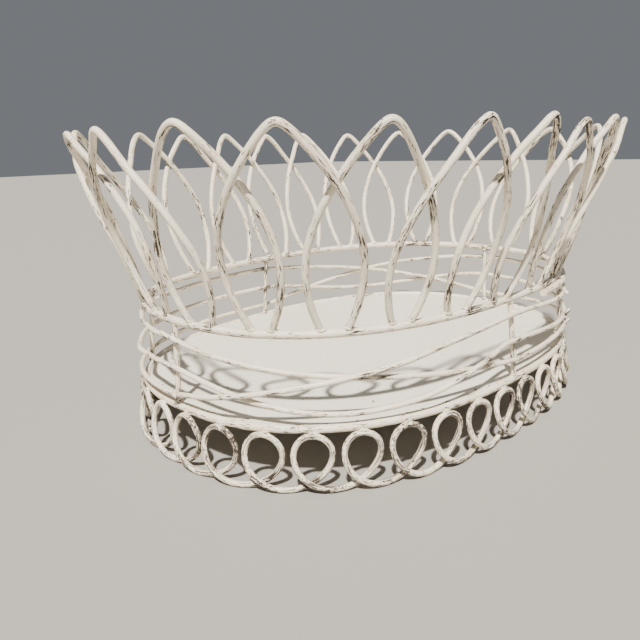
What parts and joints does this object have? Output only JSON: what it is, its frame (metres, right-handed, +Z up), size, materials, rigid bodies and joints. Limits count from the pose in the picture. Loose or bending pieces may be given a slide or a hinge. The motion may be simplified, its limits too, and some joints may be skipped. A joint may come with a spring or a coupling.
{
  "type": "oval wire basket",
  "caption": "Open oval basket of welded wire with a flared crown of pointed arches, crossing band wires, a sheet floor and a looped wire foot.",
  "frame": {"origin": "on the table, under the middle of the basket", "axes": "+Z up, +X along the oval's length, +Y across it"},
  "size_m": [0.398, 0.3038, 0.1915],
  "materials": {
    "painted_sheet": "satin cream paint, hand brushed, with faint specks and worn edges",
    "painted_wire": "satin cream paint over dark brown, rubbed through in streaks and chips"
  },
  "bodies": {
    "root": {"floor_plate": "painted_sheet", "base_ring": "painted_wire", "foot_scroll": "painted_wire", "upper_ring": "painted_wire", "upright_1": "painted_wire", "upright_2": "painted_wire", "upright_3": "painted_wire", "upright_4": "painted_wire", "upright_5": "painted_wire", "upright_6": "painted_wire", "band_wire_1": "painted_wire", "band_wire_2": "painted_wire", "band_wire_3": "painted_wire", "crown_arch_01": "painted_wire", "crown_arch_02": "painted_wire", "crown_arch_03": "painted_wire", "crown_arch_04": "painted_wire", "crown_arch_05": "painted_wire", "crown_arch_06": "painted_wire", "crown_arch_07": "painted_wire", "crown_arch_08": "painted_wire", "crown_arch_09": "painted_wire", "crown_arch_10": "painted_wire", "crown_arch_11": "painted_wire", "crown_arch_12": "painted_wire", "crown_arch_13": "painted_wire", "crown_arch_14": "painted_wire", "crown_arch_15": "painted_wire", "crown_arch_16": "painted_wire", "crown_arch_17": "painted_wire", "crown_arch_18": "painted_wire", "crown_arch_19": "painted_wire", "crown_arch_20": "painted_wire", "crown_arch_21": "painted_wire", "crown_arch_22": "painted_wire"}
  },
  "joints": []
}
